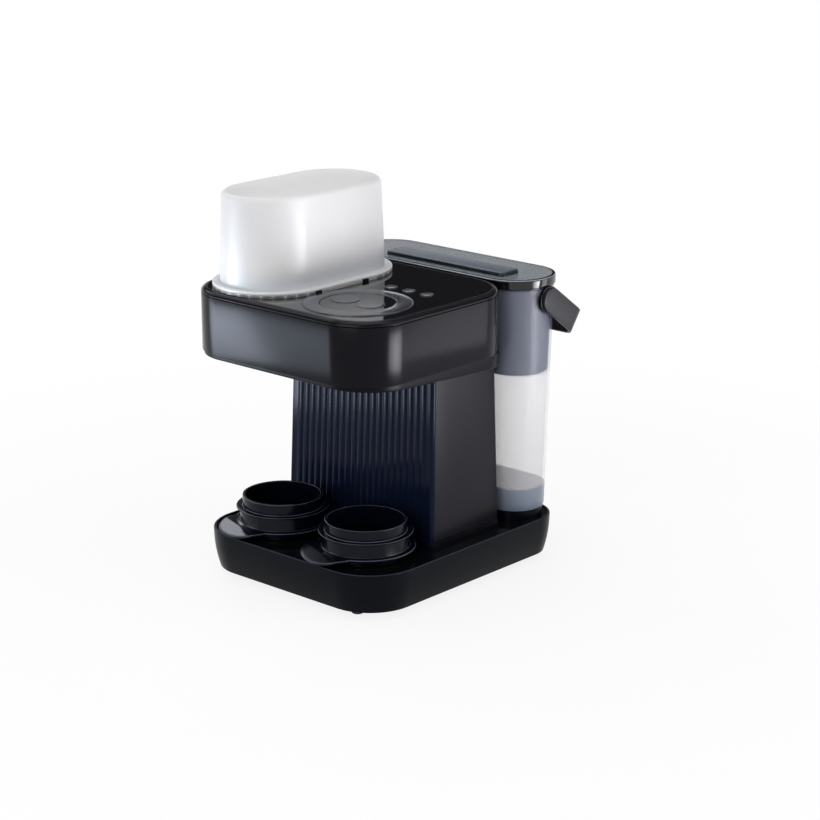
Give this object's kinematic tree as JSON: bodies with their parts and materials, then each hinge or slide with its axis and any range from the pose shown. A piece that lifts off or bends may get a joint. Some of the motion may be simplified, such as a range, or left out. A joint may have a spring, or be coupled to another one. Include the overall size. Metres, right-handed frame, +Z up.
{
  "type": "baby formula maker",
  "caption": "Countertop baby formula maker with a powder hopper under a frosted cover, a lift-off water tank with bail handle, a dial with brew buttons, and sprung and lift-off parts",
  "frame": {"origin": "on the resting surface, under the middle of the machine's bounding box", "axes": "+Z up, -Y towards the front with the bottle stands, +X to the user's right"},
  "size_m": [0.2452, 0.2974, 0.3704],
  "materials": {
    "gloss_black": "high-gloss black plastic",
    "satin_black": "satin blue-black moulded plastic",
    "graphite": "satin graphite-blue painted plastic",
    "side_grey": "fine-textured dark grey plastic",
    "dial_grey": "satin blue-grey plastic",
    "frosted_white": "milky translucent plastic",
    "frosted_clear": "frosted clear plastic",
    "lid_grey": "satin grey plastic with a gloss black rim",
    "white_plastic": "smooth white food-grade plastic",
    "grey_plastic": "matt grey structural plastic",
    "rubber": "soft black rubber",
    "silicone": "translucent grey silicone",
    "steel": "drawn stainless steel",
    "board_green": "green circuit board"
  },
  "bodies": {
    "machine": {"base_plate": "grey_plastic", "base_screw_1": "steel", "base_screw_2": "steel", "base_screw_3": "steel", "base_shell": "satin_black", "foot_front_left": "rubber", "foot_front_right": "rubber", "foot_rear_left": "rubber", "foot_rear_right": "rubber", "rear_deck": "gloss_black", "column_shell": "satin_black", "splash_panel": "gloss_black", "side_panel_left": "side_grey", "side_panel_right": "side_grey", "head_shell": "graphite", "head_underside": "satin_black", "top_bezel": "gloss_black", "top_panel": "gloss_black", "dial_hub": "gloss_black", "control_board": "board_green", "hopper_bowl": "white_plastic", "powder_chute": "white_plastic", "gear_motor": "steel", "water_nozzle": "steel", "nozzle_pipe": "silicone", "heater": "steel", "heater_pipe": "silicone", "water_pump": "grey_plastic", "tank_pipe": "silicone", "tank_dock": "satin_black", "dock_seal": "silicone", "power_board": "board_green", "power_inlet": "satin_black"},
    "tray": {"drip_tray": "gloss_black"},
    "stand_left": {"stand_base_left": "satin_black"},
    "stand_right": {"stand_base_right": "satin_black"},
    "collar_left": {"stand_collar_left": "satin_black"},
    "collar_right": {"stand_collar_right": "satin_black"},
    "cover": {"hopper_cover": "frosted_white"},
    "dial": {"dial_ring": "dial_grey"},
    "brew_left": {"brew_button_left": "dial_grey"},
    "brew_right": {"brew_button_right": "dial_grey"},
    "left_key": {"key_left": "dial_grey"},
    "middle_key": {"key_middle": "dial_grey"},
    "right_key": {"key_right": "dial_grey"},
    "doser": {"dosing_wheel": "white_plastic", "stirrer": "white_plastic"},
    "pinion": {"drive_pinion": "grey_plastic"},
    "tank": {"tank_shell": "frosted_clear", "handle_pivot_left": "satin_black", "handle_pivot_right": "satin_black", "valve_cage": "white_plastic", "valve_spring": "steel"},
    "valve": {"tank_valve": "silicone"},
    "basket": {"filter_basket": "frosted_clear"},
    "cartridge": {"filter_cartridge": "white_plastic"},
    "lid": {"tank_lid": "lid_grey", "lid_grip": "gloss_black", "lid_seal": "silicone"},
    "handle": {"tank_handle": "satin_black"}
  },
  "joints": [
    {"name": "tray_lift", "type": "slide", "parent": "machine", "child": "tray", "axis": [0, 0, 1], "range_m": [0, 0.025]},
    {"name": "stand_left_lift", "type": "slide", "parent": "tray", "child": "stand_left", "axis": [0, 0, 1], "range_m": [0, 0.06]},
    {"name": "stand_right_lift", "type": "slide", "parent": "tray", "child": "stand_right", "axis": [0, 0, 1], "range_m": [0, 0.06]},
    {"name": "collar_left_lift", "type": "slide", "parent": "stand_left", "child": "collar_left", "axis": [0, 0, 1], "range_m": [0, 0.025]},
    {"name": "collar_right_lift", "type": "slide", "parent": "stand_right", "child": "collar_right", "axis": [0, 0, 1], "range_m": [0, 0.025]},
    {"name": "cover_lift", "type": "slide", "parent": "machine", "child": "cover", "axis": [0, 0, 1], "range_m": [0, 0.1]},
    {"name": "dial_turn", "type": "hinge", "parent": "machine", "child": "dial", "pos_m": [0.05, -0.08825, 0.28], "axis": [0, 0, 1], "continuous": true},
    {"name": "brew_left_press", "type": "slide", "parent": "machine", "child": "brew_left", "axis": [0, 0, -1], "range_m": [0, 0.001], "stiffness_N_per_m": 600, "springref_m": -0.001},
    {"name": "brew_right_press", "type": "slide", "parent": "machine", "child": "brew_right", "axis": [0, 0, -1], "range_m": [0, 0.001], "stiffness_N_per_m": 600, "springref_m": -0.001},
    {"name": "key_left_press", "type": "slide", "parent": "machine", "child": "left_key", "axis": [0, 0, -1], "range_m": [0, 0.0006], "stiffness_N_per_m": 600, "springref_m": -0.001},
    {"name": "key_middle_press", "type": "slide", "parent": "machine", "child": "middle_key", "axis": [0, 0, -1], "range_m": [0, 0.0006], "stiffness_N_per_m": 600, "springref_m": -0.001},
    {"name": "key_right_press", "type": "slide", "parent": "machine", "child": "right_key", "axis": [0, 0, -1], "range_m": [0, 0.0006], "stiffness_N_per_m": 600, "springref_m": -0.001},
    {"name": "doser_turn", "type": "hinge", "parent": "machine", "child": "doser", "pos_m": [-0.0537, -0.05925, 0.2258], "axis": [0, 0, 1], "continuous": true},
    {"name": "pinion_turn", "type": "hinge", "parent": "machine", "child": "pinion", "pos_m": [-0.0057, -0.05925, 0.2258], "axis": [0, 0, 1], "continuous": true},
    {"name": "tank_lift", "type": "slide", "parent": "machine", "child": "tank", "axis": [0, 0, 1], "range_m": [0, 0.1]},
    {"name": "valve_lift", "type": "slide", "parent": "tank", "child": "valve", "axis": [0, 0, 1], "range_m": [0, 0.003], "stiffness_N_per_m": 150, "springref_m": -0.002, "deforming": ["valve_spring"]},
    {"name": "basket_lift", "type": "slide", "parent": "tank", "child": "basket", "axis": [0, 0, 1], "range_m": [0, 0.175]},
    {"name": "cartridge_lift", "type": "slide", "parent": "basket", "child": "cartridge", "axis": [0, 0, 1], "range_m": [0, 0.03]},
    {"name": "lid_lift", "type": "slide", "parent": "basket", "child": "lid", "axis": [0, 0, 1], "range_m": [0, 0.03]},
    {"name": "handle_swing", "type": "hinge", "parent": "tank", "child": "handle", "pos_m": [0, 0.0998, 0.2597], "axis": [1, 0, 0], "range_deg": [0, 126]}
  ],
  "couplings": [
    {"joint": "pinion_turn", "follows": "doser_turn", "ratio": -3.5714}
  ]
}
